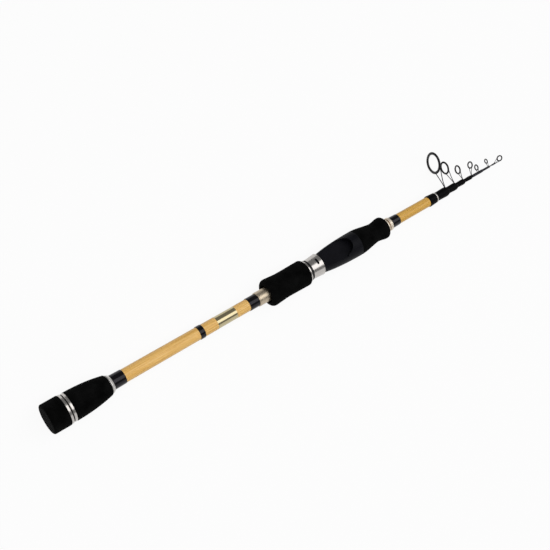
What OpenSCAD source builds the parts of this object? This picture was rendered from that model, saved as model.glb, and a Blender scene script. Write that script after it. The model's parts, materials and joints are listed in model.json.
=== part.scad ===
// Telescopic fishing rod, collapsed, with foam grips, a screw-down reel seat and wire line guides.
// Millimetres. +X runs from the butt to the tip, +Z is up as the rod lies on a table with its reel's side up.
// The origin is the centre of the butt cap's end face.

/* [Butt cap and rear grip] */
// Radius of the foam butt knob
cap_r = 14.2; // [13.6:0.1:15]
// Length of the foam butt knob
cap_len = 16.6; // [14:0.1:20]
// Rounding of the knob's rear edge
cap_edge = 1.6; // [1:0.1:4]
// Length of each of the two bright rings
ring_len = 2.3; // [2:0.1:3.2]
// Width of the dark groove between the bright rings
ring_groove = 1.2; // [0.9:0.1:1.8]
// Length of the rear grip
grip_len = 38.3; // [32:0.1:42]
// Radius of the rear grip at its rear end
grip_rear_r = 13.7; // [13:0.1:14.2]
// Radius of the rear grip just behind its front edge
grip_front_r = 9.95; // [9.4:0.05:10.6]

/* [Blank] */
// Outer radius of the butt blank at its rear end
blank_rear_r = 6.53; // [6.45:0.01:6.6]
// Outer radius of the butt blank at its mouth
blank_front_r = 5.18; // [5.1:0.01:5.25]
// Wall of the butt blank
blank_wall = 0.95; // [0.9:0.01:1]
// Distance of the mouth from the butt end
mouth_x = 457.8; // [450:0.2:480]
// Height of a thread wrap over the blank
wrap_high = 0.45; // [0.35:0.05:0.6]

/* [Reel seat] */
// Rear face of the seat body, from the butt end
seat_x = 299.1; // [296:0.1:304]
// Length of the seat body in front of that face
seat_len = 47.9; // [46:0.1:50]
// Largest radius of the seat body
seat_r = 13.1; // [12.9:0.05:13.5]
// Height of the deck for the reel's foot above the axis
deck_z = 6.4; // [6.35:0.05:6.6]
// Radius of the threaded barrel
barrel_r = 7.6; // [7.5:0.05:7.8]
// Half width of the fixed hood's pocket
pocket_half = 6.9; // [6:0.1:7.5]
// Pitch of the barrel's thread
thread_pitch = 2; // [1.5:0.1:2.5]

/* [Moving hood and locking nut] */
// Length of the bright moving hood
hood_len = 12.2; // [11.6:0.1:13]
// Radius of the hood at its front edge
hood_r = 11.2; // [11:0.05:11.5]
// How far the hood's front edge is raised over the reel's foot
hood_raise = 0.8; // [0.6:0.05:1.2]
// Wall of the hood's shell
hood_wall = 0.6; // [0.5:0.02:0.7]
// Turn of the reel seat about the axis, as the rod lies on its first guide
seat_turn = 17; // [0:1:90]
// Length of the nut's foam sleeve
nut_len = 47.3; // [44:0.1:50]
// Radius of the nut's foam sleeve
nut_r = 12.95; // [12.6:0.05:13.3]
// Radius of the flared rear lip of the foam sleeve
nut_lip_r = 13.8; // [13.4:0.1:14.2]

/* [Fore grip] */
// Length of the fore grip
fore_len = 39.1; // [36:0.1:44]
// Radius of the fore grip's waist
fore_waist_r = 10; // [9.4:0.05:10.4]
// Radius of the fore grip's flared end
fore_flare_r = 11.5; // [11:0.05:12]

/* [Sections] */
// Radius of section 2 at its front end
tube_2_r = 3.9; // [3.85:0.01:3.95]
// Radius of section 3 at its front end
tube_3_r = 3.05; // [3.0:0.01:3.1]
// Radius of section 4 at its front end
tube_4_r = 2.15; // [2.1:0.01:2.2]
// Radius of section 5 at its front end
tube_5_r = 1.4; // [1.37:0.01:1.43]
// Radius of the solid tip at its front end
tip_r = 0.55; // [0.52:0.01:0.58]
// Length of a section that stays inside the one before it when drawn out
overlap = 45; // [35:1:60]

/* [Guides] */
// Outer radius of the first guide
guide_1_r = 11.9; // [11.5:0.1:12.7]
// Outer radius of the second guide
guide_2_r = 7.2; // [7:0.1:7.8]
// Outer radius of the third guide
guide_3_r = 5.1; // [4.9:0.1:5.6]
// Outer radius of the fourth guide
guide_4_r = 4; // [3.8:0.05:4.3]
// Height of the first guide's ring over the axis
guide_1_high = 32.4; // [29:0.1:34]
// Height of the second guide's ring over the axis
guide_2_high = 22.2; // [20:0.1:24]
// Height of the third guide's ring over the axis
guide_3_high = 13.8; // [12:0.1:15]
// Height of the fourth guide's ring over the axis
guide_4_high = 13.2; // [11:0.1:14]
// Turn of the guides about the axis: at 94 the first guide reaches the floor beside the rod
guide_turn = 94; // [0:1:180]

/* [Hidden] */
$fn = 96;

// clearances: a glue line, a running fit, a gap between faces that part
glue = 0.02;
run = 0.05;
gap = 0.2;

// stations along the rod
cap_ring_x = cap_len;
washer_x = cap_ring_x + ring_len;
ferrule_x = washer_x + ring_groove;
grip_x = ferrule_x + ring_len;
check_x = grip_x + grip_len;
rear_wrap_x = check_x + 3.1;
blank_x = grip_x + 13.5;
ferrule_end = blank_x + 7;
section_x = blank_x + 15;
nut_x = seat_x - hood_len - 4.8 - nut_len;
sleeve_x = nut_x - 11.6;
barrel_x = nut_x + 7.7;
fore_x = seat_x + seat_len;
fore_check_x = fore_x + fore_len;
fore_wrap_x = fore_check_x + 7.9;
ring_x = mouth_x + gap;

// the blank's outside radius at a station
blank_taper = (blank_rear_r - blank_front_r) / (mouth_x - blank_x);
function blank_r(x) = blank_rear_r - (x - blank_x) * blank_taper;

// stations of the four feet of the wrapped guides, and the front ends of their tubes
foot_x = [mouth_x + 18.4, mouth_x + 31.7, mouth_x + 43.8, mouth_x + 55.6];
tube_end = [for (x = foot_x) x + 0.8];
wrap_start = [ring_x + 1.7, tube_end[0] + gap, tube_end[1] + gap, tube_end[2] + gap];
wrap_r = [tube_2_r + 1.1, tube_3_r + 0.87, tube_4_r + 0.8, tube_5_r + 0.75];
front_r = [tube_2_r, tube_3_r, tube_4_r, tube_5_r];
tube_wall = [0.55, 0.55, 0.5, 0.35];

// each section's rear end nearly fills the mouth of the one before it
mouth_r = [blank_front_r - blank_wall, for (i = [0:3]) front_r[i] - tube_wall[i]];
rear_r = [for (i = [0:3]) mouth_r[i] - run];
tip_rear_r = mouth_r[4] - run;
tip_end = tube_end[3] + 35.2;

// the two sliding guides on the tip
slide_5_x = tube_end[3] + gap + 0.3;
slide_6_x = slide_5_x + 15.7;
slide_len = [15.4, 11];
slide_r = [1.55, 1.2];
slide_bore = [0.9, 0.78];

// guide sizes: foot station, seat radius, ring height, outer radius, wire radius, lean of the legs,
// tilt of the ring, turn about the axis
guides = [
    [foot_x[0], tube_2_r, guide_1_high, guide_1_r, 0.5, 9, 12, guide_turn],
    [foot_x[1], tube_3_r, guide_2_high, guide_2_r, 0.42, 0, 8, guide_turn],
    [foot_x[2], tube_4_r, guide_3_high, guide_3_r, 0.38, 5.5, 12, guide_turn],
    [foot_x[3], tube_5_r, guide_4_high, guide_4_r, 0.33, 4, 20, guide_turn - 33],
    [slide_5_x + 9.7, slide_r[0], 6, 3.5, 0.3, 12, 12, guide_turn],
    [slide_6_x + 9.5, slide_r[1], 6.8, 2.85, 0.28, 10, 10, guide_turn]
];

// profile helpers: points are [station along the rod, radius]
function arc(c, r, a, b, n = 8) = [for (i = [0:n]) let (t = a + (b - a) * i / n) c + r * [cos(t), sin(t)]];
function spline(p, n = 5) = concat([for (i = [0:len(p) - 2], j = [0:n - 1])
    let (t = j / n, a = p[max(i - 1, 0)], b = p[i], c = p[i + 1], d = p[min(i + 2, len(p) - 1)])
    (2 * b + (c - a) * t + (2 * a - 5 * b + 4 * c - d) * t * t + (3 * b - a - 3 * c + d) * t * t * t) / 2],
    [p[len(p) - 1]]);

// a solid turned about the rod's axis
module turned(profile) rotate([0, 90, 0]) rotate_extrude() polygon([for (p = profile) [p[1], p[0]]]);

// a cylinder along the rod's axis
module bar(x, length, r) translate([x, 0, 0]) rotate([0, 90, 0]) cylinder(h = length, r = r);

// a round wire from a to b
module strut(a, b, r_a, r_b) {
    v = b - a;
    l = norm(v);
    translate(a) rotate([0, acos(v[2] / l), atan2(v[1], v[0])]) cylinder(h = l, r1 = r_a, r2 = r_b, $fn = 32);
}

// thread wound on a tapered tube and lacquered, with soft ends
module wrap(x_a, x_b, seat_a, seat_b, r_a, r_b) {
    soft = min(0.9, (x_b - x_a) / 5);
    high_a = r_a - seat_a;
    high_b = r_b - seat_b;
    turned([[x_a, seat_a + glue], [x_a, seat_a + high_a * 0.45], [x_a + soft * 0.35, seat_a + high_a * 0.82],
            [x_a + soft, r_a], [x_b - soft, r_b], [x_b - soft * 0.35, seat_b + high_b * 0.82],
            [x_b, seat_b + high_b * 0.45], [x_b, seat_b + glue]]);
}

module blank_wrap(x_a, x_b, rise_a, rise_b)
    wrap(x_a, x_b, blank_r(x_a), blank_r(x_b),
         blank_r(x_a) + wrap_high * rise_a, blank_r(x_b) + wrap_high * rise_b);

// the butt section's tube, with a straight land at its mouth where section 2 jams
module butt_blank() {
    land = overlap + 5;
    color("goldenrod") turned([[blank_x, blank_r(blank_x) - blank_wall], [blank_x, blank_r(blank_x)],
        [mouth_x, blank_front_r], [mouth_x, mouth_r[0]], [mouth_x - land, mouth_r[0]]]);
}

// metal ferrule with the female thread for the butt cap, its rim shows as a bright ring
module cap_ferrule() {
    sleeve_r = blank_rear_r + 1.2;
    rim_r = grip_rear_r - 0.15;
    color("silver") turned([[ferrule_x, cap_thread_r + run],
        [ferrule_x, rim_r - 0.3], [ferrule_x + 0.3, rim_r], [grip_x - 0.2, rim_r], [grip_x, rim_r - 0.2],
        [grip_x, sleeve_r], [ferrule_end, sleeve_r], [ferrule_end, blank_rear_r + glue],
        [blank_x, blank_rear_r + glue], [blank_x, cap_thread_r + run]]);
}
cap_thread_r = 4.9;

// rear grip: foam that falls away towards the front in one easy curve
module rear_grip() {
    edge = 2;
    steps = 12;
    sleeve_r = blank_rear_r + 1.2 + glue;
    sleeve_end = ferrule_end + glue;
    fall = grip_rear_r - grip_front_r;
    color("dimgray") turned(concat(
        [[grip_x, sleeve_r], [grip_x, grip_rear_r - 0.4], [grip_x + 0.4, grip_rear_r]],
        [for (i = [1:steps])
            [grip_x + (grip_len - edge) * i / steps, grip_rear_r - fall * pow(i / steps, 2.15)]],
        arc([check_x - edge, grip_front_r - edge], edge, 72, 0, 6),
        [[check_x, blank_r(check_x) + glue], [sleeve_end, blank_r(sleeve_end) + glue],
         [sleeve_end, sleeve_r]]));
}

// bright ring that closes the front of the rear grip
module rear_check() {
    r = 8.7;
    x_b = rear_wrap_x;
    color("silver") turned([[check_x, blank_r(check_x) + glue], [check_x, r - 0.5], [check_x + 0.5, r],
        [check_x + 1.3, r - 0.1], [x_b - 0.4, r - 1], [x_b, r - 1.35], [x_b, blank_r(x_b) + glue]]);
}

module rear_wrap() color("black") blank_wrap(rear_wrap_x, rear_wrap_x + 12.3, 1.2, 0.8);

module middle_wrap() color("black") blank_wrap(155.7, 161.1, 1, 1);

module seat_wrap() color("black") blank_wrap(sleeve_x - 10.6, sleeve_x, 1, 1);

// bright tube behind the reel seat, with a rolled rim at its rear end
module seat_sleeve() {
    r = 7.05;
    rim = 0.5;
    color("silver") turned(concat([[sleeve_x, blank_r(sleeve_x) + glue]],
        arc([sleeve_x + rim, r - rim], rim, 180, 40, 8),
        [[sleeve_x + 1.1, r - 0.25], [sleeve_x + 1.5, r], [barrel_x, r],
         [barrel_x, blank_r(barrel_x) + glue]]));
}

seat_bore = blank_r(barrel_x) + 0.08;

// sleeve that fills between the blank and the front half of the seat
module seat_arbor() {
    x_b = fore_x - 1.5;
    color("tan") turned([[seat_x, blank_r(seat_x) + glue], [seat_x, seat_bore - glue],
        [x_b, seat_bore - glue], [x_b, blank_r(x_b) + glue]]);
}

// the outline of the seat body, from its rear face to the fore grip
seat_line = spline([[seat_x, 9.45], [seat_x + 10.6, 11.1], [seat_x + 19.4, 12], [seat_x + 30.4, seat_r - 0.4],
                    [seat_x + 42.4, seat_r - 0.05], [fore_x, seat_r]]);

// reel seat: threaded barrel, flat deck with the mouth of the fixed hood, pocket under the hood
module seat_body() {
    cut_x = seat_x - 34;
    mouth_end = seat_x + 29.4;
    mouth_round = 9.2;
    pocket_end = fore_x - 2.5;
    roof_r = seat_r - 1.3;
    turns = floor((seat_x - barrel_x - 5) / thread_pitch);
    thread = [for (i = [0:turns - 1]) let (x = barrel_x + 2 + i * thread_pitch)
        each [[x, barrel_r],
              [x + 0.2 * thread_pitch, barrel_r - 0.45], [x + 0.5 * thread_pitch, barrel_r - 0.45],
              [x + 0.7 * thread_pitch, barrel_r]]];
    color("#2a2a2e") rotate([-seat_turn, 0, 0]) difference() {
        turned(concat([[barrel_x, seat_bore], [barrel_x, barrel_r]], thread, [[seat_x, barrel_r]],
                      seat_line, [[fore_x, seat_bore]]));
        translate([cut_x, -20, deck_z]) cube([mouth_end - cut_x, 40, 20]);
        translate([mouth_end, 0, deck_z]) cylinder(h = 20, r = mouth_round);
        intersection() {
            bar(mouth_end, pocket_end - mouth_end, roof_r);
            translate([mouth_end, -pocket_half, deck_z]) cube([pocket_end - mouth_end, 2 * pocket_half, 20]);
        }
    }
}

// fore grip: foam, waisted behind a flared and rounded end
module fore_grip() {
    edge = 2.6;
    end_x = fore_check_x;
    swell = [[0.09, seat_r - 0.1], [0.217, seat_r - 0.6], [0.445, fore_waist_r + 1], [0.63, fore_waist_r],
             [0.775, fore_flare_r - 0.9], [0.87, fore_flare_r - 0.15]];
    line = spline([[fore_x, seat_r], for (p = swell) [fore_x + p[0] * fore_len, p[1]],
                   [end_x - edge, fore_flare_r]]);
    color("dimgray") turned(concat([[fore_x, blank_r(fore_x) + glue]], line,
        arc([end_x - edge, fore_flare_r - edge], edge, 80, 0, 8),
        [[end_x, blank_r(end_x) + glue]]));
}

// bright ring in front of the fore grip, two rims with a hollow between them
module fore_check() {
    x_a = fore_check_x;
    x_b = fore_wrap_x;
    color("silver") turned(concat(
        [[x_a, blank_r(x_a) + glue], [x_a, 6.6], [x_a + 0.3, 6.9], [x_a + 2.4, 6.9]],
        arc([x_a + 4.2, 8.2], 1.85, 228, 312, 6),
        [[x_b - 1.9, 6.95], [x_b - 0.4, 6.95], [x_b, 6.6], [x_b, blank_r(x_b) + glue]]));
}

module fore_wrap() color("black") blank_wrap(fore_wrap_x, fore_wrap_x + 11, 1.3, 0.9);

module mouth_wrap() color("black") blank_wrap(mouth_x - 9.9, mouth_x, 1.7, 0.6);

// slip ring at the mouth, it turns with the sections
module mouth_ring() {
    r = blank_front_r + 0.12;
    color("silver") turned(concat([[ring_x, mouth_r[0]], [ring_x, r - 0.4]],
        arc([ring_x + 0.75, r - 0.6], 0.75, 165, 15, 6),
        [[ring_x + 1.5, r - 0.4], [ring_x + 1.5, mouth_r[0]]]));
}

// butt knob: foam, glued on the plug's stem
stem_r = 6.5;
stem_x = 6;
module cap_knob() color("dimgray") turned(concat(
    [[0, 0]], arc([cap_edge, cap_r - cap_edge], cap_edge, 180, 90),
    [[cap_len - 0.4, cap_r], [cap_len, cap_r - 0.4], [cap_len, stem_r + glue],
     [stem_x, stem_r + glue], [stem_x, 0]]));

// bright ring on the cap's side of the parting line
module cap_ring() {
    r = cap_r - 0.3;
    x_b = cap_ring_x + ring_len;
    color("silver") turned([[cap_ring_x, stem_r + glue], [cap_ring_x, r - 0.2], [cap_ring_x + 0.2, r],
        [x_b - 0.3, r], [x_b, r - 0.3], [x_b, stem_r + glue]]);
}

// rubber washer on the plug's spigot, dark between the two bright rings
module cap_washer() {
    r = grip_rear_r - 1;
    x_b = ferrule_x - gap;
    color("black") turned([[washer_x, cap_thread_r + glue], [washer_x, r], [x_b - 0.2, r], [x_b, r - 0.2],
        [x_b, cap_thread_r + glue]]);
}

// threaded plug: stem in the knob, spigot in the ferrule
plug_end = blank_x - 1;
module cap_plug() color("gray") turned([[stem_x, 0], [stem_x, stem_r], [washer_x, stem_r],
    [washer_x, cap_thread_r], [plug_end, cap_thread_r], [plug_end, 0]]);

// rubber pad on the plug, against rattle
module cap_pad() color("black") turned([[plug_end, 0], [plug_end, 4.5], [plug_end + 9, 4.5],
    [plug_end + 10, 3.5], [plug_end + 10, 0]]);

// a cone that leans from the axis at the hood's rear to the raise at its front, trimmed square at both ends
hood_x = seat_x - gap - hood_len;
module hood_form(shrink) {
    flare = 1.1;
    over = 4;
    tilt = atan(hood_raise / hood_len);
    slope = flare / hood_len;
    intersection() {
        bar(hood_x, hood_len, 20);
        translate([hood_x, 0, 0]) rotate([0, 90 - tilt, 0]) translate([0, 0, -over])
            cylinder(h = hood_len + 2 * over, r1 = hood_r - flare - slope * over - shrink,
                     r2 = hood_r + slope * over - shrink);
    }
}

// the pocket that takes the reel's foot, open to the front
foot_pocket_x = hood_x + 7.7;
module foot_pocket() translate([foot_pocket_x, -pocket_half + 0.4, deck_z + run])
    cube([10, 2 * pocket_half - 0.8, 10]);

// bright shell of the moving hood, with its small slot
module hood_shell() {
    slot_x = hood_x + 7.6;
    slot_half = 3.4;
    slot_w = 2.2;
    color("silver") rotate([-seat_turn, 0, 0]) difference() {
        hood_form(0);
        hood_form(hood_wall);
        for (s = [-1, 1])
            translate([slot_x, s * (slot_half - slot_w / 2), 5]) cylinder(h = 10, d = slot_w, $fn = 32);
        translate([slot_x - slot_w / 2, -slot_half + slot_w / 2, 5])
            cube([slot_w, 2 * slot_half - slot_w, 10]);
    }
}

// plastic liner of the hood: keyed on the barrel's flat, cut away for the reel's foot
module hood_liner() color("#222226") rotate([-seat_turn, 0, 0]) difference() {
    intersection() {
        hood_form(hood_wall + glue);
        bar(hood_x, hood_len - 0.3, 20);
    }
    difference() {
        bar(hood_x - 1, hood_len + 2, barrel_r + run);
        translate([hood_x - 2, -20, deck_z + run]) cube([foot_pocket_x - hood_x + 2, 40, 20]);
    }
    foot_pocket();
}

// nylon washer between nut and hood
washer_len = 2.5;
module hood_washer() {
    r = barrel_r + 2.9;
    x_b = hood_x;
    x_a = x_b - washer_len;
    color("black") turned([[x_a, barrel_r + run], [x_a, r - 0.3], [x_a + 0.3, r], [x_b - 0.3, r],
        [x_b, r - 0.3], [x_b, barrel_r + run]]);
}

core_wall = 1.4;
core_r = barrel_r + core_wall;
trim_x = nut_x + nut_len;
core_x = barrel_x - 0.3;
core_end = hood_x - washer_len - gap;

// threaded core of the locking nut
module nut_core() color("#222226") turned([[core_x, barrel_r + run], [core_x, core_r],
    [core_end, core_r], [core_end, barrel_r + run]]);

// foam sleeve of the nut: flared rear lip round an open mouth, rounded front
module nut_grip() {
    lip = 4.2;
    front = 2.2;
    lip_bore = core_r + 0.3;
    color("dimgray") turned(concat(
        [[nut_x, lip_bore]],
        arc([nut_x + lip, nut_lip_r - lip], lip, 180, 90),
        spline([[nut_x + lip + 1.6, nut_lip_r - 0.03], [nut_x + 11.3, nut_lip_r - 0.5],
                [nut_x + 17.3, nut_r - 0.1], [nut_x + 23.5, nut_r - 0.2], [nut_x + 34, nut_r],
                [trim_x - front - 0.6, nut_r + 0.15]]),
        arc([trim_x - front, nut_r + 0.15 - front], front, 90, 0),
        [[trim_x, core_r + glue], [core_x, core_r + glue], [core_x, lip_bore]]));
}

// thin bright trim ring in front of the foam
module nut_trim() {
    r = core_r + 2.3;
    color("silver") turned([[trim_x, core_r + glue], [trim_x, r - 0.3], [trim_x + 0.4, r],
        [core_end - 0.4, r], [core_end, r - 0.3], [core_end, core_r + glue]]);
}

// a section's tube, open at both ends, with a straight land at its mouth for the next one
module section_tube(i) {
    x_b = tube_end[i];
    land_out = 17;
    land_in = overlap + 5;
    turned([[section_x, rear_r[i] - tube_wall[i]], [section_x, rear_r[i]],
        [x_b - land_out, front_r[i]], [x_b, front_r[i]], [x_b, mouth_r[i + 1]],
        [x_b - land_in, mouth_r[i + 1]]]);
}

// the thread wrap that holds a guide's foot: it swells towards the wire's end
// and stops the section at the mouth
module section_wrap(i) difference() {
    a = wrap_start[i];
    l = foot_x[i] - 0.2 - a;
    r = front_r[i];
    high = wrap_r[i] - r;
    swell = [[0, 0.6], [0.06, 0.7], [0.35, 0.82], [0.7, 1], [0.88, 0.92], [1, 0.5]];
    line = spline([for (p = swell) [a + p[0] * l, r + p[1] * high]], 4);
    turned(concat([[a, r + glue]], line, [[a + l, r + glue]]));
    turn_to(i) for (s = [-1, 1]) foot(i, s, 0.01);
}

module turn_to(i) rotate([-guides[i][7], 0, 0]) children();

function foot_r(i) = (wrap_r[i] - front_r[i]) * 0.38;
function foot_point(i, s) = [foot_x[i] + 0.25, s * foot_r(i) * 1.05, front_r[i] + foot_r(i) + glue];

// one of the two wire ends that lie on the tube under the wrap
module foot(i, s, more) {
    length = (foot_x[i] - wrap_start[i]) * 0.6;
    p = foot_point(i, s);
    strut(p, p - [length, 0, 0], foot_r(i) + more, foot_r(i) + more);
}

// a guide's ring centre and the direction up its leaning plane
function ring_c(g) = [g[0] + 0.25 + (g[2] - g[1]) * tan(g[5]), 0, g[2]];
function up(g) = [sin(g[6]), 0, cos(g[6])];
function on_loop(g, a, s) = ring_c(g) + (g[3] - g[4]) * (-cos(a) * up(g) + [0, s * sin(a), 0]);

// the wire loop that carries a guide's ring
module loop(g) translate(ring_c(g)) rotate([0, 90 + g[6], 0]) rotate_extrude()
    translate([g[3] - g[4], 0]) circle(r = g[4], $fn = 24);

// wire frame: loop, two legs that draw together above the foot, two ends along the tube
module wire_frame(i) {
    g = guides[i];
    w = g[4];
    turn_to(i) union() {
        loop(g);
        for (s = [-1, 1]) {
            top = on_loop(g, s < 0 ? 45 : 16, s);
            toe = foot_point(i, s);
            knee = toe + (top - toe) * 0.34 + [0, -s * abs(top[1] - toe[1]) * 0.17, 0];
            strut(top, knee, w * 0.93, w * 0.93);
            strut(knee, toe, w * 0.93, foot_r(i));
            translate(knee) sphere(r = w * 1.03, $fn = 32);
            translate(toe) sphere(r = foot_r(i) * 1.08, $fn = 32);
            foot(i, s, 0);
        }
    }
}

// ceramic ring with a straight land inside and a groove for the wire outside
module ring_insert(g) {
    outer = g[3] - 2 * g[4] + 0.12;
    inner = g[3] * 0.83 - 0.8;
    half = g[4] * 2.1;
    land = half * 0.5;
    ease = (outer - inner) * 0.35;
    translate(ring_c(g)) rotate([0, 90 + g[6], 0]) rotate_extrude() difference() {
        polygon([[inner, -land], [inner + ease, -half], [outer, -half],
                 [outer, half], [inner + ease, half], [inner, land]]);
        translate([g[3] - g[4], 0]) circle(r = g[4] + 0.01, $fn = 24);
    }
}

// a short tube that slides on the tip and carries a small guide
module slide_tube(x, length, r, bore) {
    x_b = x + length;
    turned([[x, bore], [x, r - 0.2], [x + 0.5, r], [x_b - 0.5, r], [x_b, r - 0.2], [x_b, bore]]);
}

// short-legged frame soldered on a sliding tube
module slide_frame(i, r) {
    g = guides[i];
    w = g[4];
    turn_to(i) difference() {
        union() {
            loop(g);
            for (s = [-1, 1])
                strut(on_loop(g, 42, s), [g[0], s * r * 0.45, r * 0.2], w * 0.92, w * 0.92);
        }
        bar(g[0] - 5, 12, r + 0.005);
    }
}

// the tip-top: a tube on the tip's end and a ring held by three wires
tip_top_x = tip_end - 4.3;
tip_top_r = 0.85;
tip_top = [tip_end + 7.2, 0.4, 3.4, 3.5, 0.32, 40, 40, guide_turn - 52];
module tip_turn() rotate([-tip_top[7], 0, 0]) children();
function tip_c() = [tip_top[0], 0, tip_top[2]];

module tip_blank() color("#1a1a1c")
    turned([[section_x, 0], [section_x, tip_rear_r], [tip_end, tip_r], [tip_end, 0]]);

module tip_top_tube() color("#303036") turned([[tip_top_x, tip_r + 0.03], [tip_top_x, tip_top_r - 0.1],
    [tip_top_x + 0.3, tip_top_r], [tip_end + 0.9, tip_top_r], [tip_end + 1.3, tip_top_r - 0.3],
    [tip_end + 1.3, 0], [tip_end + glue, 0], [tip_end + glue, tip_r + 0.03]]);

module tip_top_frame() {
    g = tip_top;
    w = g[4];
    mid = tip_c();
    lean = up(g);
    reach = g[3] - w;
    color("#303036") tip_turn() difference() {
        union() {
            translate(mid) rotate([0, 90 + g[6], 0]) rotate_extrude()
                translate([reach, 0]) circle(r = w, $fn = 24);
            strut(mid - reach * lean, [tip_end - 0.6, 0, tip_top_r * 0.3], w * 0.9, w * 0.9);
            for (s = [-1, 1])
                strut(mid + reach * (-cos(62) * lean + [0, s * sin(62), 0]),
                      [tip_end - 1.2, s * tip_top_r * 0.3, 0], w * 0.9, w * 0.9);
        }
        bar(tip_top_x - 1, tip_end + 3 - tip_top_x, tip_top_r + 0.005);
    }
}

module tip_top_ring() {
    g = tip_top;
    outer = g[3] - 2 * g[4] + 0.12;
    inner = g[3] * 0.62;
    color("#202024") tip_turn() translate(tip_c()) rotate([0, 90 + g[6], 0]) rotate_extrude() difference() {
        polygon([[inner, -0.3], [inner + 0.3, -0.6], [outer, -0.6],
                 [outer, 0.6], [inner + 0.3, 0.6], [inner, 0.3]]);
        translate([g[3] - g[4], 0]) circle(r = g[4] + 0.01, $fn = 24);
    }
}

module section_2_tube() color("#1a1a1c") section_tube(0);
module section_3_tube() color("#1a1a1c") section_tube(1);
module section_4_tube() color("#1a1a1c") section_tube(2);
module section_5_tube() color("#1a1a1c") section_tube(3);
module section_2_wrap() color("black") section_wrap(0);
module section_3_wrap() color("black") section_wrap(1);
module section_4_wrap() color("black") section_wrap(2);
module section_5_wrap() color("black") section_wrap(3);
module guide_1_frame() color("#303036") wire_frame(0);
module guide_2_frame() color("#303036") wire_frame(1);
module guide_3_frame() color("#303036") wire_frame(2);
module guide_4_frame() color("#303036") wire_frame(3);
module guide_5_frame() color("#303036") slide_frame(4, slide_r[0]);
module guide_6_frame() color("#303036") slide_frame(5, slide_r[1]);
module guide_1_ring() color("#202024") turn_to(0) ring_insert(guides[0]);
module guide_2_ring() color("#202024") turn_to(1) ring_insert(guides[1]);
module guide_3_ring() color("#202024") turn_to(2) ring_insert(guides[2]);
module guide_4_ring() color("#202024") turn_to(3) ring_insert(guides[3]);
module guide_5_ring() color("#202024") turn_to(4) ring_insert(guides[4]);
module guide_6_ring() color("#202024") turn_to(5) ring_insert(guides[5]);
module guide_5_tube() color("#303036") slide_tube(slide_5_x, slide_len[0], slide_r[0], slide_bore[0]);
module guide_6_tube() color("#303036") slide_tube(slide_6_x, slide_len[1], slide_r[1], slide_bore[1]);

butt_blank();
cap_ferrule();
rear_grip();
rear_check();
rear_wrap();
middle_wrap();
seat_wrap();
seat_sleeve();
seat_arbor();
seat_body();
fore_grip();
fore_check();
fore_wrap();
mouth_wrap();
mouth_ring();
cap_knob();
cap_ring();
cap_washer();
cap_plug();
cap_pad();
hood_shell();
hood_liner();
hood_washer();
nut_core();
nut_grip();
nut_trim();
section_2_tube();
section_2_wrap();
guide_1_frame();
guide_1_ring();
section_3_tube();
section_3_wrap();
guide_2_frame();
guide_2_ring();
section_4_tube();
section_4_wrap();
guide_3_frame();
guide_3_ring();
section_5_tube();
section_5_wrap();
guide_4_frame();
guide_4_ring();
guide_5_tube();
guide_5_frame();
guide_5_ring();
guide_6_tube();
guide_6_frame();
guide_6_ring();
tip_blank();
tip_top_tube();
tip_top_frame();
tip_top_ring();
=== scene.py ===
import json
import math
import bpy
from mathutils import Matrix, Vector


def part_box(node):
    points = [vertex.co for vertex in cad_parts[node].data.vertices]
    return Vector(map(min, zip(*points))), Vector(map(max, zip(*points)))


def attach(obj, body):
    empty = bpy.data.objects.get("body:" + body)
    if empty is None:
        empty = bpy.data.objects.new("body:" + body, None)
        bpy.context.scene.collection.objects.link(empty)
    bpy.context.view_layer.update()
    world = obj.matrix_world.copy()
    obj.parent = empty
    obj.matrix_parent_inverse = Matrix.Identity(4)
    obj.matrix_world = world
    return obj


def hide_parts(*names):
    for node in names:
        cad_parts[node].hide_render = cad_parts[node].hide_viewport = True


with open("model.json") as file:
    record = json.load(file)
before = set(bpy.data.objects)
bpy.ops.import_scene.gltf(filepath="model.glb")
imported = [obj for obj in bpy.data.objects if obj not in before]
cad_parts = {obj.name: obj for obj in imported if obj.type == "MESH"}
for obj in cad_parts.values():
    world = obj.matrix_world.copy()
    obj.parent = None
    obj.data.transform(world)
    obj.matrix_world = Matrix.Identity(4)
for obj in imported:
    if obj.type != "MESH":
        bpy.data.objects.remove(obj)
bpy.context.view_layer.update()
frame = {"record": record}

MM = 0.001

# Foam butt knob.
# A block of closed-cell EVA foam, turned and ground on a lathe, glued on the stem of the threaded plug.
# Its rear edge is eased and its front edge meets the bright ring.


def linear(code):
    """An sRGB hex colour as linear red, green, blue and alpha."""
    parts = [int(code[i:i + 2], 16) / 255 for i in (0, 2, 4)]
    return [c / 12.92 if c <= 0.04045 else ((c + 0.055) / 1.055) ** 2.4 for c in parts] + [1.0]


def fill(tree, node, inputs):
    """Set a node's inputs, or link them where the value is another node's output."""
    for name, value in inputs.items():
        if isinstance(value, bpy.types.NodeSocket):
            tree.links.new(value, node.inputs[name])
        else:
            node.inputs[name].default_value = value


def add(tree, kind, inputs, stops=(), **settings):
    """Add one node with its settings and inputs and, on a colour ramp, its stops of place and colour."""
    node = tree.nodes.new(kind)
    for name, value in settings.items():
        setattr(node, name, value)
    fill(tree, node, inputs)
    while stops and len(node.color_ramp.elements) < len(stops):
        node.color_ramp.elements.new(0.5)
    for number, (place, code) in enumerate(stops):
        node.color_ramp.elements[number].position = place
        node.color_ramp.elements[number].color = linear(code)
    return node


def finish_named(name):
    """A new material, its node tree, its surface shader and the piece's own coordinates."""
    material = bpy.data.materials.new(name)
    material.use_nodes = True
    tree = material.node_tree
    place = add(tree, "ShaderNodeTexCoord", {})
    return material, tree, tree.nodes["Principled BSDF"], place.outputs["Object"]


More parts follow.
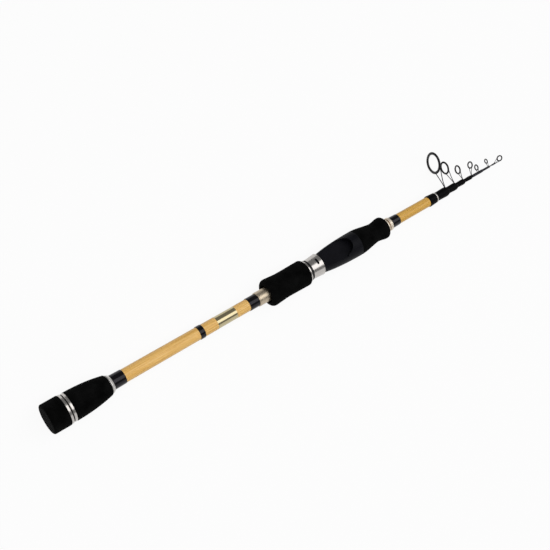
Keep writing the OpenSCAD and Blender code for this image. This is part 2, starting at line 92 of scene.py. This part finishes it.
# EVA foam: black through and through, ground with fine paper, so it is matt with a fine nap.
# Cells of about 0.3 mm are too fine to show, so the nap is drawn at 0.6 mm, over faint clouds of 9 mm.
foam, tree, shader, place = finish_named("ground_eva_foam")
cells = add(tree, "ShaderNodeTexNoise", {"Vector": place, "Scale": 1 / (0.6 * MM), "Detail": 3,
                                        "Roughness": 0.65})
cloud = add(tree, "ShaderNodeTexNoise", {"Vector": place, "Scale": 1 / (9 * MM), "Detail": 2})
tone = add(tree, "ShaderNodeMath", {0: cells.outputs["Fac"], 1: cloud.outputs["Fac"]}, operation="MULTIPLY")
colour = add(tree, "ShaderNodeValToRGB", {"Fac": tone.outputs[0]}, [(0.12, "020202"), (0.46, "101010")])
nap = add(tree, "ShaderNodeBump", {"Strength": 0.55, "Distance": 0.12 * MM, "Height": cells.outputs["Fac"]})
fill(tree, shader, {"Base Color": colour.outputs["Color"], "Normal": nap.outputs["Normal"],
                    "Roughness": 0.92, "Specular IOR Level": 0.04})


def turned(name, stations):
    """Turn a closed ring about the rod's axis from [x, radius] stations in millimetres."""
    bpy.ops.object.select_all(action="DESELECT")
    x, r = stations[0]
    bpy.ops.mesh.primitive_circle_add(vertices=96, radius=r * MM, location=(x * MM, 0, 0),
                                      rotation=(0, math.pi / 2, 0))
    piece = bpy.context.object
    piece.name = name
    bpy.ops.object.transform_apply(location=True, rotation=True, scale=True)
    bpy.ops.object.mode_set(mode="EDIT")
    bpy.ops.mesh.select_all(action="SELECT")
    for x_next, r_next in stations[1:]:
        bpy.ops.mesh.extrude_edges_move(TRANSFORM_OT_translate={"value": ((x_next - x) * MM, 0, 0)})
        grow = r_next / r
        bpy.ops.transform.resize(value=(1, grow, grow), center_override=(x_next * MM, 0, 0))
        x, r = x_next, r_next
    bpy.ops.mesh.select_all(action="SELECT")
    bpy.ops.mesh.remove_doubles(threshold=1e-7)
    bpy.ops.mesh.normals_make_consistent(inside=False)
    bpy.ops.object.mode_set(mode="OBJECT")
    bpy.ops.object.shade_smooth_by_angle(angle=math.radians(35))
    return piece


def rounded(x, r, edge, start, end, steps=7):
    """Stations round an edge of the given radius, centred at x and r, from start to end degrees."""
    turns = [math.radians(start + (end - start) * i / steps) for i in range(steps + 1)]
    return [(x + edge * math.cos(a), r + edge * math.sin(a)) for a in turns]


def eased(knots, steps=6):
    """Stations on a smooth curve through the knots, as a template for the grinding wheel would give."""
    made = []
    for i in range(len(knots) - 1):
        a, b, c, d = [Vector(knots[min(max(j, 0), len(knots) - 1)]) for j in (i - 1, i, i + 1, i + 2)]
        for j in range(steps):
            t = j / steps
            curve = 2 * b + (c - a) * t
            curve += (2 * a - 5 * b + 4 * c - d) * t ** 2 + (3 * b - a - 3 * c + d) * t ** 3
            made.append((curve[0] / 2, curve[1] / 2))
    return made + [tuple(knots[-1])]


def hold(piece, material, body, node):
    """Finish a new piece: its material, the body it moves with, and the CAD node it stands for."""
    piece.data.materials.append(material)
    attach(piece, body)
    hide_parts(node)


knob_len, knob_r = [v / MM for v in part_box("cap_knob")[1][:2]]
glue = 0.02
stem_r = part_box("cap_plug")[1][1] / MM + glue
stem_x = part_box("cap_plug")[0][0] / MM
edge, front_edge = 1.6, 0.45
# A turned ring can't close on the axis itself, so a pinhole too small to show is left along it, and the
# rear face is dished a trace towards it.
pin_r, dish, flat_r = 0.3, 0.02, knob_r * 0.4
# An extra station behind the front edge keeps the shading of the straight side even.
side_end = knob_len - 1
stations = [(stem_x, pin_r), (dish, pin_r), (0, flat_r)] + rounded(edge, knob_r - edge, edge, 180, 90, 9)
stations += [(side_end, knob_r)]
stations += rounded(knob_len - front_edge, knob_r - front_edge, front_edge, 90, 0, 4)
stations += [(knob_len, stem_r), (stem_x, stem_r), (stem_x, pin_r)]
hold(turned("foam_butt_knob", stations), foam, "butt_cap", "cap_knob")

# Bright rings of the cap and its ferrule, and the other bright fittings along the rod.
# Turned aluminium, satin polished and clear anodised: the nut's trim ring and the shell
# of the moving hood have the same finish. The rear check and the mouth ring are blasted matt.


def dress(material, *nodes):
    """Give CAD nodes this material."""
    for name in nodes:
        mesh = bpy.data.objects[name].data
        mesh.materials.clear()
        mesh.materials.append(material)


# Satin-polished aluminium: a clear grey mirror with soft edges and faint turning marks round the axis.
# Turning marks of 0.1 mm are drawn at 0.35 mm so that they show. Round the axis they hardly change.
turning_marks = (1 / (0.35 * MM), 14, 14)
bright, tree, shader, place = finish_named("satin_polished_aluminium")
marks = add(tree, "ShaderNodeMapping", {"Vector": place, "Scale": turning_marks})
lines = add(tree, "ShaderNodeTexNoise", {"Vector": marks.outputs["Vector"], "Scale": 1, "Detail": 2})
colour = add(tree, "ShaderNodeValToRGB", {"Fac": lines.outputs["Fac"]}, [(0.3, "b4b0ac"), (0.7, "c9c5c1")])
rough = add(tree, "ShaderNodeMapRange", {"Value": lines.outputs["Fac"], "To Min": 0.16, "To Max": 0.3})
grain = add(tree, "ShaderNodeBump", {"Strength": 0.12, "Distance": 0.02 * MM,
                                     "Height": lines.outputs["Fac"]})
fill(tree, shader, {"Base Color": colour.outputs["Color"], "Roughness": rough.outputs[0],
                    "Normal": grain.outputs["Normal"], "Metallic": 1.0})
dress(bright, "cap_ring", "cap_ferrule", "nut_trim", "hood_shell")

# Blasted aluminium: the same metal with a fine matt grain, pale from every side.
# Grain of 0.1 mm is drawn at 0.3 mm so that it shows.
matt, tree, shader, place = finish_named("blasted_aluminium")
grit = add(tree, "ShaderNodeTexNoise", {"Vector": place, "Scale": 1 / (0.3 * MM), "Detail": 2})
colour = add(tree, "ShaderNodeValToRGB", {"Fac": grit.outputs["Fac"]}, [(0.3, "cfccc8"), (0.7, "e0dedb")])
fill(tree, shader, {"Base Color": colour.outputs["Color"], "Roughness": 0.55, "Metallic": 1.0})
dress(matt, "rear_check", "mouth_ring")

# Threaded plug, washer and rubber pad of the butt cap.
# The plug is moulded in black nylon, as are the liner and washer of the moving hood and the nut's core, and
# screws into the ferrule. The rubber washer seals the joint, and the pad stops the sections rattling.

# Moulded nylon: matt dark grey with a faint moulded texture, drawn at 0.5 mm so that it shows.
nylon, tree, shader, place = finish_named("moulded_nylon")
texture = add(tree, "ShaderNodeTexNoise", {"Vector": place, "Scale": 1 / (0.5 * MM), "Detail": 2})
colour = add(tree, "ShaderNodeValToRGB", {"Fac": texture.outputs["Fac"]}, [(0.3, "121214"), (0.7, "1a1a1d")])
skin = add(tree, "ShaderNodeBump", {"Strength": 0.2, "Distance": 0.03 * MM,
                                    "Height": texture.outputs["Fac"]})
fill(tree, shader, {"Base Color": colour.outputs["Color"], "Normal": skin.outputs["Normal"],
                    "Roughness": 0.55, "Specular IOR Level": 0.2})
dress(nylon, "cap_plug", "hood_liner", "hood_washer", "nut_core")

# Soft rubber: dull black with a slight bloom in patches of 2 mm.
rubber, tree, shader, place = finish_named("soft_rubber")
bloom = add(tree, "ShaderNodeTexNoise", {"Vector": place, "Scale": 1 / (2 * MM), "Detail": 3})
colour = add(tree, "ShaderNodeValToRGB", {"Fac": bloom.outputs["Fac"]}, [(0.35, "141415"), (0.75, "202021")])
fill(tree, shader, {"Base Color": colour.outputs["Color"], "Roughness": 0.8, "Specular IOR Level": 0.2})
dress(rubber, "cap_washer", "cap_pad")

# Rear grip.
# One length of the same foam, bored to slide over the blank and the ferrule, ground to an easy taper.
low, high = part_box("rear_grip")
x_a, x_b, r_a = low[0] / MM, high[0] / MM, high[1] / MM
r_b, edge, rear_edge = 9.95, 2, 0.4
fit, ferrule_wall = 0.04, 1.2
bore_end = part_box("cap_ferrule")[1][0] / MM + fit
bore_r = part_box("butt_blank")[1][1] / MM + fit
ferrule_r = bore_r + ferrule_wall
# The taper is slow at the rear and quicker to the front, where it meets the rounded edge at this angle.
ease, edge_start, steps = 2.15, 72, 24
length = x_b - edge - x_a
stations = [(x_a, ferrule_r)] + rounded(x_a + rear_edge, r_a - rear_edge, rear_edge, 180, 90, 4)
stations += [(x_a + length * i / steps, r_a - (r_a - r_b) * (i / steps) ** ease)
             for i in range(1, steps + 1)]
stations += rounded(x_b - edge, r_b - edge, edge, edge_start, 0, 8)
stations += [(x_b, bore_r), (bore_end, bore_r), (bore_end, ferrule_r), (x_a, ferrule_r)]
hold(turned("foam_rear_grip", stations), foam, "handle", "rear_grip")

# Butt blank.
# A tapered tube rolled from glass and carbon cloth, sprayed gold with streaks drawn along it, under lacquer.

# Gold lacquer: warm tan gold with long streaks like wood grain, 0.8 mm wide and 40 mm long, in a soft gloss.
# The coat is thicker and deeper in colour on the thin front end. A plain foil band, 22 mm long, lies under
# it between the middle wrap and the seat wrap.
gold, tree, shader, place = finish_named("streaked_gold_lacquer")
along = add(tree, "ShaderNodeMapping", {"Vector": place,
                                        "Scale": (1 / (40 * MM), 1 / (0.8 * MM), 1 / (0.8 * MM))})
streak = add(tree, "ShaderNodeTexNoise", {"Vector": along.outputs["Vector"], "Scale": 1, "Detail": 4,
                                         "Roughness": 0.6})
colour = add(tree, "ShaderNodeValToRGB", {"Fac": streak.outputs["Fac"]},
             [(0.28, "d3a14e"), (0.48, "ebb967"), (0.72, "f7d088")])
deep = add(tree, "ShaderNodeValToRGB", {"Fac": streak.outputs["Fac"]},
           [(0.28, "c0903b"), (0.48, "daa84c"), (0.72, "e6bb67")])
where = add(tree, "ShaderNodeSeparateXYZ", {"Vector": place})
deep_from, deep_to = 300 * MM, 410 * MM
front = add(tree, "ShaderNodeMapRange", {"Value": where.outputs["X"], "From Min": deep_from,
                                         "From Max": deep_to})
# On a mix of colours, input 0 is the share, inputs 6 and 7 are the colours, and output 2 is the mix.
shade = add(tree, "ShaderNodeMix",
            {0: front.outputs[0], 6: colour.outputs["Color"], 7: deep.outputs["Color"]}, data_type="RGBA")
foil_x, foil_len = 175.7 * MM, 22 * MM
after = add(tree, "ShaderNodeMath", {0: where.outputs["X"], 1: foil_x}, operation="GREATER_THAN")
before = add(tree, "ShaderNodeMath", {0: where.outputs["X"], 1: foil_x + foil_len}, operation="LESS_THAN")
foil = add(tree, "ShaderNodeMath", {0: after.outputs[0], 1: before.outputs[0]}, operation="MULTIPLY")
base = add(tree, "ShaderNodeMix", {0: foil.outputs[0], 6: shade.outputs[2], 7: linear("bcb08c")},
           data_type="RGBA")
rough = add(tree, "ShaderNodeMapRange", {"Value": foil.outputs[0], "To Min": 0.42, "To Max": 0.16})
fill(tree, shader, {"Base Color": base.outputs[2], "Roughness": rough.outputs[0],
                    "Metallic": foil.outputs[0], "Specular IOR Level": 0.2,
                    "Coat Weight": 0.25, "Coat Roughness": 0.2})
dress(gold, "butt_blank")

# Thread wraps.
# Black nylon thread wound tightly on the blank and the sections and flooded with clear epoxy.

# Lacquered thread: near black with a trace of violet, glossy, with the turns of thread felt under the coat
# and runs of about 3 mm in it. Thread of 0.2 mm is drawn at 0.5 mm so that the turns show, and a wave
# texture of scale 1 repeats every 0.314 m.
winding = 0.314 / (0.5 * MM)
thread, tree, shader, place = finish_named("thread_under_epoxy")
turns = add(tree, "ShaderNodeTexWave", {"Vector": place, "Scale": winding}, bands_direction="X")
runs = add(tree, "ShaderNodeTexNoise", {"Vector": place, "Scale": 1 / (3 * MM), "Detail": 2})
depth = add(tree, "ShaderNodeMath", {0: turns.outputs["Fac"], 1: runs.outputs["Fac"]}, operation="MULTIPLY")
colour = add(tree, "ShaderNodeValToRGB", {"Fac": depth.outputs[0]}, [(0.1, "010102"), (0.6, "050406")])
ribs = add(tree, "ShaderNodeBump", {"Strength": 0.25, "Distance": 0.03 * MM, "Height": turns.outputs["Fac"]})
fill(tree, shader, {"Base Color": colour.outputs["Color"], "Normal": ribs.outputs["Normal"],
                    "Roughness": 0.18, "Specular IOR Level": 0.25, "Specular Tint": linear("f4effc"),
                    "Coat Weight": 0.1, "Coat Roughness": 0.08})
dress(thread, "rear_wrap", "middle_wrap", "seat_wrap", "fore_wrap")

# Thread under a thin satin coat, on the mouth of the blank and on the sections: darker and less glossy.
dull, tree, shader, place = finish_named("thread_under_satin_coat")
turns = add(tree, "ShaderNodeTexWave", {"Vector": place, "Scale": winding}, bands_direction="X")
colour = add(tree, "ShaderNodeValToRGB", {"Fac": turns.outputs["Fac"]}, [(0.1, "030304"), (0.9, "08080a")])
ribs = add(tree, "ShaderNodeBump", {"Strength": 0.3, "Distance": 0.03 * MM, "Height": turns.outputs["Fac"]})
fill(tree, shader, {"Base Color": colour.outputs["Color"], "Normal": ribs.outputs["Normal"],
                    "Roughness": 0.5, "Specular IOR Level": 0.05})
dress(dull, "mouth_wrap", "section_2_wrap", "section_3_wrap", "section_4_wrap", "section_5_wrap")

# Seat sleeve.
# A drawn aluminium tube with a rolled rim, slid over the blank behind the reel seat and anodised champagne.

# Champagne anodised aluminium: the same satin metal with a warm tint.
champagne, tree, shader, place = finish_named("champagne_anodised_aluminium")
marks = add(tree, "ShaderNodeMapping", {"Vector": place, "Scale": turning_marks})
lines = add(tree, "ShaderNodeTexNoise", {"Vector": marks.outputs["Vector"], "Scale": 1, "Detail": 2})
colour = add(tree, "ShaderNodeValToRGB", {"Fac": lines.outputs["Fac"]}, [(0.3, "b7a892"), (0.7, "cdbfa9")])
rough = add(tree, "ShaderNodeMapRange", {"Value": lines.outputs["Fac"], "To Min": 0.34, "To Max": 0.46})
fill(tree, shader, {"Base Color": colour.outputs["Color"], "Roughness": rough.outputs[0], "Metallic": 1.0})
dress(champagne, "seat_sleeve")

# Reel seat body.
# Moulded in black glass-filled nylon: a threaded barrel at the rear, a flat deck for the reel's foot,
# and a fixed hood that is one with the body. It is glued over an arbor on the blank.

# Satin nylon: charcoal with a fine spark texture, faint clouds of 12 mm and a soft sheen on its edges.
# Texture of 0.1 mm is drawn at 0.45 mm so that it shows.
satin, tree, shader, place = finish_named("satin_glass_filled_nylon")
spark = add(tree, "ShaderNodeTexNoise", {"Vector": place, "Scale": 1 / (0.45 * MM), "Detail": 2})
cloud = add(tree, "ShaderNodeTexNoise", {"Vector": place, "Scale": 1 / (12 * MM), "Detail": 1})
colour = add(tree, "ShaderNodeValToRGB", {"Fac": cloud.outputs["Fac"]}, [(0.3, "0b0b0f"), (0.7, "111116")])
soft = add(tree, "ShaderNodeBevel", {"Radius": 0.45 * MM}, samples=6)
skin = add(tree, "ShaderNodeBump", {"Strength": 0.18, "Distance": 0.03 * MM, "Height": spark.outputs["Fac"],
                                    "Normal": soft.outputs["Normal"]})
fill(tree, shader, {"Base Color": colour.outputs["Color"], "Normal": skin.outputs["Normal"],
                    "Roughness": 0.5, "Specular IOR Level": 0.07})
dress(satin, "seat_body")

# Seat arbor.
# A sleeve of rigid polyurethane foam, glued on the blank and into the seat to fill the space between them.
# It is hidden in use.

# Rigid foam: pale tan and dull, with pores of 0.8 mm.
arbor_foam, tree, shader, place = finish_named("rigid_urethane_foam")
pores = add(tree, "ShaderNodeTexVoronoi", {"Vector": place, "Scale": 1 / (0.8 * MM)})
colour = add(tree, "ShaderNodeValToRGB", {"Fac": pores.outputs["Distance"]},
             [(0.1, "8d7a58"), (0.7, "b9a67f")])
fill(tree, shader, {"Base Color": colour.outputs["Color"], "Roughness": 0.9})
dress(arbor_foam, "seat_arbor")

# Foam sleeve of the locking nut.
# Turned from the same foam and glued on the nut's core: a flared lip round an open mouth at the rear,
# where the seat sleeve runs in, and a rounded front behind the trim ring.
low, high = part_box("nut_grip")
x_a, x_b, lip_r = low[0] / MM, high[0] / MM, high[1] / MM
core_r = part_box("nut_core")[1][1] / MM + glue
core_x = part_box("nut_core")[0][0] / MM
body_r, lip, front, mouth_r = 12.95, 4.2, 2.2, 9.3
front_r = body_r + 0.15
# Knots of place and radius: off the lip's crown, down to a shallow waist in the body, and out to the front.
knots = [(x_a + lip + 1.6, lip_r - 0.03), (x_a + 11.3, lip_r - 0.5), (x_a + 17.3, body_r - 0.1),
         (x_a + 23.5, body_r - 0.2), (x_a + 34, body_r), (x_b - front - 0.6, front_r)]
stations = [(x_a, mouth_r)] + rounded(x_a + lip, lip_r - lip, lip, 180, 90, 10) + eased(knots)
stations += rounded(x_b - front, front_r - front, front, 90, 0, 9)
stations += [(x_b, core_r), (core_x, core_r), (core_x, mouth_r), (x_a, mouth_r)]
hold(turned("foam_nut_sleeve", stations), foam, "nut", "nut_grip")

# Fore grip.
# The same foam, ground flush with the seat body, drawn in to a waist for the hand and flared at its end.
low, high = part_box("fore_grip")
x_a, x_b, seat_r = low[0] / MM, high[0] / MM, high[1] / MM
length = x_b - x_a
bore_r, flare_r, waist_r, edge, edge_start = 5.57, 11.5, 10, 2.6, 80
# Knots of the outline: the share of the grip's length and the radius there.
swell = [(0, seat_r), (0.09, seat_r - 0.1), (0.217, seat_r - 0.6), (0.445, waist_r + 1), (0.63, waist_r),
         (0.775, flare_r - 0.9), (0.87, flare_r - 0.15), (1 - edge / length, flare_r)]
stations = [(x_a, bore_r)] + eased([(x_a + share * length, r) for share, r in swell])
stations += rounded(x_b - edge, flare_r - edge, edge, edge_start, 0, 10)
stations += [(x_b, bore_r), (x_a, bore_r)]
hold(turned("foam_fore_grip", stations), foam, "handle", "fore_grip")

# Fore check.
# A winding check turned from aluminium and anodised champagne, glued on the blank against the foam.
# It has two rims, with a brown line in the hollow between them.

# Champagne aluminium with a thin brown line, about 1 mm wide and soft at its edges, along the hollow.
check, tree, shader, place = finish_named("champagne_aluminium_with_brown_line")
hollow_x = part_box("fore_check")[0][0] + 4.2 * MM
brown_end, champagne_start = 0.45 * MM, 0.7 * MM
where = add(tree, "ShaderNodeSeparateXYZ", {"Vector": place})
away = add(tree, "ShaderNodeMath", {0: where.outputs["X"], 1: hollow_x}, operation="SUBTRACT")
away = add(tree, "ShaderNodeMath", {0: away.outputs[0]}, operation="ABSOLUTE")
band = add(tree, "ShaderNodeMapRange", {"Value": away.outputs[0], "From Min": brown_end,
                                        "From Max": champagne_start})
colour = add(tree, "ShaderNodeValToRGB", {"Fac": band.outputs[0]}, [(0.0, "8f7050"), (1.0, "e8dece")])
fill(tree, shader, {"Base Color": colour.outputs["Color"], "Roughness": 0.58, "Metallic": 1.0})
dress(check, "fore_check")

# Sections and tip.
# Tapered tubes, and a solid tip, rolled and ground from carbon and glass, sprayed black and lacquered.

# Black lacquer on ground carbon: a soft gloss with faint rings left by the grinding.
# Rings of 0.3 mm are drawn at 0.6 mm so that they show. Round the axis they hardly change.
grinding_rings = (1 / (0.6 * MM), 20, 20)
black, tree, shader, place = finish_named("black_lacquer_on_carbon")
rings = add(tree, "ShaderNodeMapping", {"Vector": place, "Scale": grinding_rings})
ground = add(tree, "ShaderNodeTexNoise", {"Vector": rings.outputs["Vector"], "Scale": 1, "Detail": 2})
colour = add(tree, "ShaderNodeValToRGB", {"Fac": ground.outputs["Fac"]}, [(0.3, "070709"), (0.7, "0f0f12")])
fill(tree, shader, {"Base Color": colour.outputs["Color"], "Roughness": 0.35, "Specular IOR Level": 0.1,
                    "Coat Weight": 0.15, "Coat Roughness": 0.12})
dress(black, "section_2_tube", "section_3_tube", "section_4_tube", "section_5_tube", "tip_blank")

# Line guides.
# Stainless wire, bent round a ceramic ring and down to two feet under a thread wrap, with a short piece
# brazed in to close the loop. The sliding guides and the tip-top have tubes in place of feet.

# Blackened stainless wire: dark gunmetal, satin, a little paler in patches of 2.5 mm where it is rubbed.
wire, tree, shader, place = finish_named("blackened_stainless_wire")
rub = add(tree, "ShaderNodeTexNoise", {"Vector": place, "Scale": 1 / (2.5 * MM), "Detail": 3})
colour = add(tree, "ShaderNodeValToRGB", {"Fac": rub.outputs["Fac"]}, [(0.35, "242428"), (0.75, "3c3c42")])
fill(tree, shader, {"Base Color": colour.outputs["Color"], "Roughness": 0.36, "Metallic": 0.85})
dress(wire, "guide_5_tube", "guide_6_tube", "tip_top_tube",
      "guide_5_frame", "guide_6_frame", "tip_top_frame")

# Polished ceramic: black, hard gloss, with a faint grey mottle of 1.2 mm.
ceramic, tree, shader, place = finish_named("polished_black_ceramic")
mottle = add(tree, "ShaderNodeTexNoise", {"Vector": place, "Scale": 1 / (1.2 * MM), "Detail": 3})
colour = add(tree, "ShaderNodeValToRGB", {"Fac": mottle.outputs["Fac"]},
             [(0.35, "09090b"), (0.75, "151519")])
fill(tree, shader, {"Base Color": colour.outputs["Color"], "Roughness": 0.2, "Specular IOR Level": 0.3})
dress(ceramic, "guide_1_ring", "guide_2_ring", "guide_3_ring", "guide_4_ring",
      "guide_5_ring", "guide_6_ring", "tip_top_ring")


def bent_wire(name, runs, thickness):
    """Round wires along runs of points in metres, each with its share of the thickness, as one mesh."""
    made = []
    for points in runs:
        bpy.ops.object.select_all(action="DESELECT")
        bpy.ops.curve.primitive_nurbs_path_add(location=(0, 0, 0))
        path = bpy.context.object
        spline = path.data.splines[0]
        spline.points.add(len(points) - len(spline.points))
        for knot, (spot, share) in zip(spline.points, points):
            knot.co = (spot[0], spot[1], spot[2], 1)
            knot.radius = share
        spline.order_u = 3
        spline.use_endpoint_u = True
        spline.resolution_u = 4
        path.data.bevel_depth = thickness
        path.data.bevel_resolution = 4
        path.data.use_fill_caps = True
        bpy.ops.object.convert(target="MESH")
        made.append(bpy.context.object)
    bpy.ops.object.select_all(action="DESELECT")
    for piece in made:
        piece.select_set(True)
    bpy.context.view_layer.objects.active = made[0]
    bpy.ops.object.join()
    piece = bpy.context.object
    piece.name = name
    bpy.ops.object.shade_smooth_by_angle(angle=math.radians(50))
    return piece


def on_loop(centre, to_low, to_near, degrees):
    """A point on the middle of a loop's wire, turned from its lowest point towards its near side."""
    a = math.radians(degrees)
    return centre + math.cos(a) * to_low + math.sin(a) * to_near


# The mounts in the record give the centre and the axis of each ring.
seats = {mount["name"]: mount for mount in frame["record"]["mounts"]}
# For each guide in millimetres: the loop's outer radius, the wire's radius, the tube's radius under the feet
# and the wrap's height on the tube.
sizes = [(11.9, 0.5, 3.9, 1.1), (7.2, 0.42, 3.05, 0.87), (5.1, 0.38, 2.15, 0.8), (4, 0.33, 1.4, 0.75)]
# The legs leave the loop at these degrees from its lowest point. The long way round from leg to leg is one
# run with them, and a short run, lapped at both ends, closes the loop below.
near_leg, far_leg, lap = 45, 16, 4
long_way, short_way = 360 - near_leg - far_leg, near_leg + far_leg + 2 * lap
loop_steps, under_steps = 48, 16
# A leg has its knee at this share of its way up, drawn in by this share of its way across.
knee_up, knee_in = 0.34, 0.17
for number, guide_sizes in enumerate(sizes, start=1):
    ring_r, wire_r, tube_r, rise = [size * MM for size in guide_sizes]
    mount = seats["guide_%d_line" % number]
    centre = Vector(mount["pos_m"])
    out = Vector((0, centre.y, centre.z)).normalized()
    across = Vector((1, 0, 0)).cross(out)
    up = across.cross(Vector(mount["axis"])).normalized()
    if up.dot(out) < 0:
        up = -up
    loop_r = ring_r - wire_r
    to_low, to_near = -loop_r * up, loop_r * across
    # The feet are drawn thin, lie under 0.6 of the wrap's length and come out at its front.
    foot_r = rise * 0.38
    foot_share = foot_r / wire_r
    wrap_low, wrap_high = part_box("section_%d_wrap" % (number + 1))
    toe_x = wrap_high[0] + 0.45 * MM
    foot_len = (wrap_high[0] + 0.2 * MM - wrap_low[0]) * 0.6
    legs = []
    for side, degrees in ((1, near_leg), (-1, -far_leg)):
        top = on_loop(centre, to_low, to_near, degrees)
        toe = Vector((toe_x, 0, 0)) + out * (tube_r + foot_r) + across * side * foot_r * 1.05
        heel = toe - Vector((foot_len, 0, 0))
        knee = toe + (top - toe) * knee_up - across * side * abs((top - toe).dot(across)) * knee_in
        legs.append([(heel, foot_share), (toe.lerp(heel, 0.12), foot_share), (toe, 0.9),
                     (toe.lerp(knee, 0.3), 0.93), (knee, 0.93), (knee.lerp(top, 0.5), 0.95), (top, 1.0)])
    loop = [(on_loop(centre, to_low, to_near, near_leg + long_way * i / loop_steps), 1.0)
            for i in range(1, loop_steps)]
    under = [(on_loop(centre, to_low, to_near, short_way * i / under_steps - far_leg - lap), 0.97)
             for i in range(under_steps + 1)]
    guide = bent_wire("guide_%d_wire" % number, [legs[0] + loop + legs[1][::-1], under], wire_r)
    hold(guide, wire, "section_%d" % (number + 1), "guide_%d_frame" % number)

# Studio.
# A white paper floor under the rod, one long softbox above it and a dim grey room. A white card on the near
# side shows in the metal alone. The camera stands above the butt and looks down along the rod.
# The paper lies just under the butt knob, which is the lowest piece.
rod_middle, floor_z = 280 * MM, -14.25 * MM
bpy.ops.object.select_all(action="DESELECT")
bpy.ops.mesh.primitive_plane_add(size=40, location=(rod_middle, 0, floor_z))
floor = bpy.context.object
floor.name = "floor"
paper, tree, shader = finish_named("white_paper")[:3]
fill(tree, shader, {"Base Color": linear("e8e8e8"), "Roughness": 1.0, "Specular IOR Level": 0.0})
# Most of the paper's white is its own, for the camera and for reflections, and the rest keeps the shadow.
own_white = 0.92
light = add(tree, "ShaderNodeLightPath", {})
seen = add(tree, "ShaderNodeMath", {0: light.outputs["Is Camera Ray"], 1: light.outputs["Is Glossy Ray"]},
           operation="MAXIMUM")
seen = add(tree, "ShaderNodeMath", {0: seen.outputs[0], 1: light.outputs["Is Transmission Ray"]},
           operation="MAXIMUM")
share = add(tree, "ShaderNodeMath", {0: seen.outputs[0], 1: own_white}, operation="MULTIPLY")
white = add(tree, "ShaderNodeEmission", {"Strength": 1.0})
both = add(tree, "ShaderNodeMixShader", {0: share.outputs[0], 1: shader.outputs[0], 2: white.outputs[0]})
fill(tree, tree.nodes["Material Output"], {"Surface": both.outputs[0]})
floor.data.materials.append(paper)

# The card and the softbox are longer than the rod drawn out, so that they show along all of it.
light_x = 1.0
card_length, card_height, card_away, card_up = 6, 0.9, 1.5, 0.45
bpy.ops.object.select_all(action="DESELECT")
bpy.ops.mesh.primitive_plane_add(size=1, location=(light_x, -card_away, card_up),
                                 rotation=(math.pi / 2, 0, 0))
card = bpy.context.object
card.name = "card"
card.scale = (card_length, card_height, 1)
card.visible_camera = False
card.visible_diffuse = False
card.data.materials.append(paper)

# The camera is tilted from straight above towards the butt, turned a little about the rod, and held so that
# the rod slopes up across the picture. Its place is in metres, its sensor in millimetres, and the picture's
# width and the focal length are in pixels.
tilt = math.radians(26)
turn = math.radians(1)
slope = math.radians(29.46)
aim_along, aim_over, distance = 0.2531, 0.0118, 0.9524
sensor_width, picture_width, focal_length = 36, 550, 1000
facing = Vector((0, -math.sin(turn), math.cos(turn)))
over = Vector((0, math.cos(turn), math.sin(turn)))
toward = Vector((-math.sin(tilt), 0, 0)) + math.cos(tilt) * facing
along = Vector((math.cos(tilt), 0, 0)) + math.sin(tilt) * facing
right = math.cos(slope) * along - math.sin(slope) * over
upward = math.sin(slope) * along + math.cos(slope) * over
stand = Vector((aim_along, 0, 0)) + aim_over * over + distance * toward
bpy.ops.object.camera_add()
camera = bpy.context.object
camera.data.sensor_width = sensor_width
camera.data.lens = sensor_width * focal_length / picture_width
camera.data.clip_start = 0.01
camera.matrix_world = Matrix(((right.x, upward.x, toward.x, stand.x), (right.y, upward.y, toward.y, stand.y),
                              (right.z, upward.z, toward.z, stand.z), (0, 0, 0, 1)))
bpy.context.scene.camera = camera

lean, lamp_height = math.radians(4), 2
lamp_spot = (light_x, -lamp_height * math.sin(lean), lamp_height * math.cos(lean))
bpy.ops.object.light_add(type="AREA", location=lamp_spot, rotation=(lean, 0, 0))
softbox = bpy.context.object
softbox.data.shape = "RECTANGLE"
softbox.data.size = 7.0
softbox.data.size_y = 1.7
softbox.data.energy = 64

scene = bpy.context.scene
scene.view_settings.view_transform = "Standard"
world = bpy.data.worlds.new("room")
world.use_nodes = True
scene.world = world
fill(world.node_tree, world.node_tree.nodes["Background"], {"Color": (1, 1, 1, 1), "Strength": 0.25})
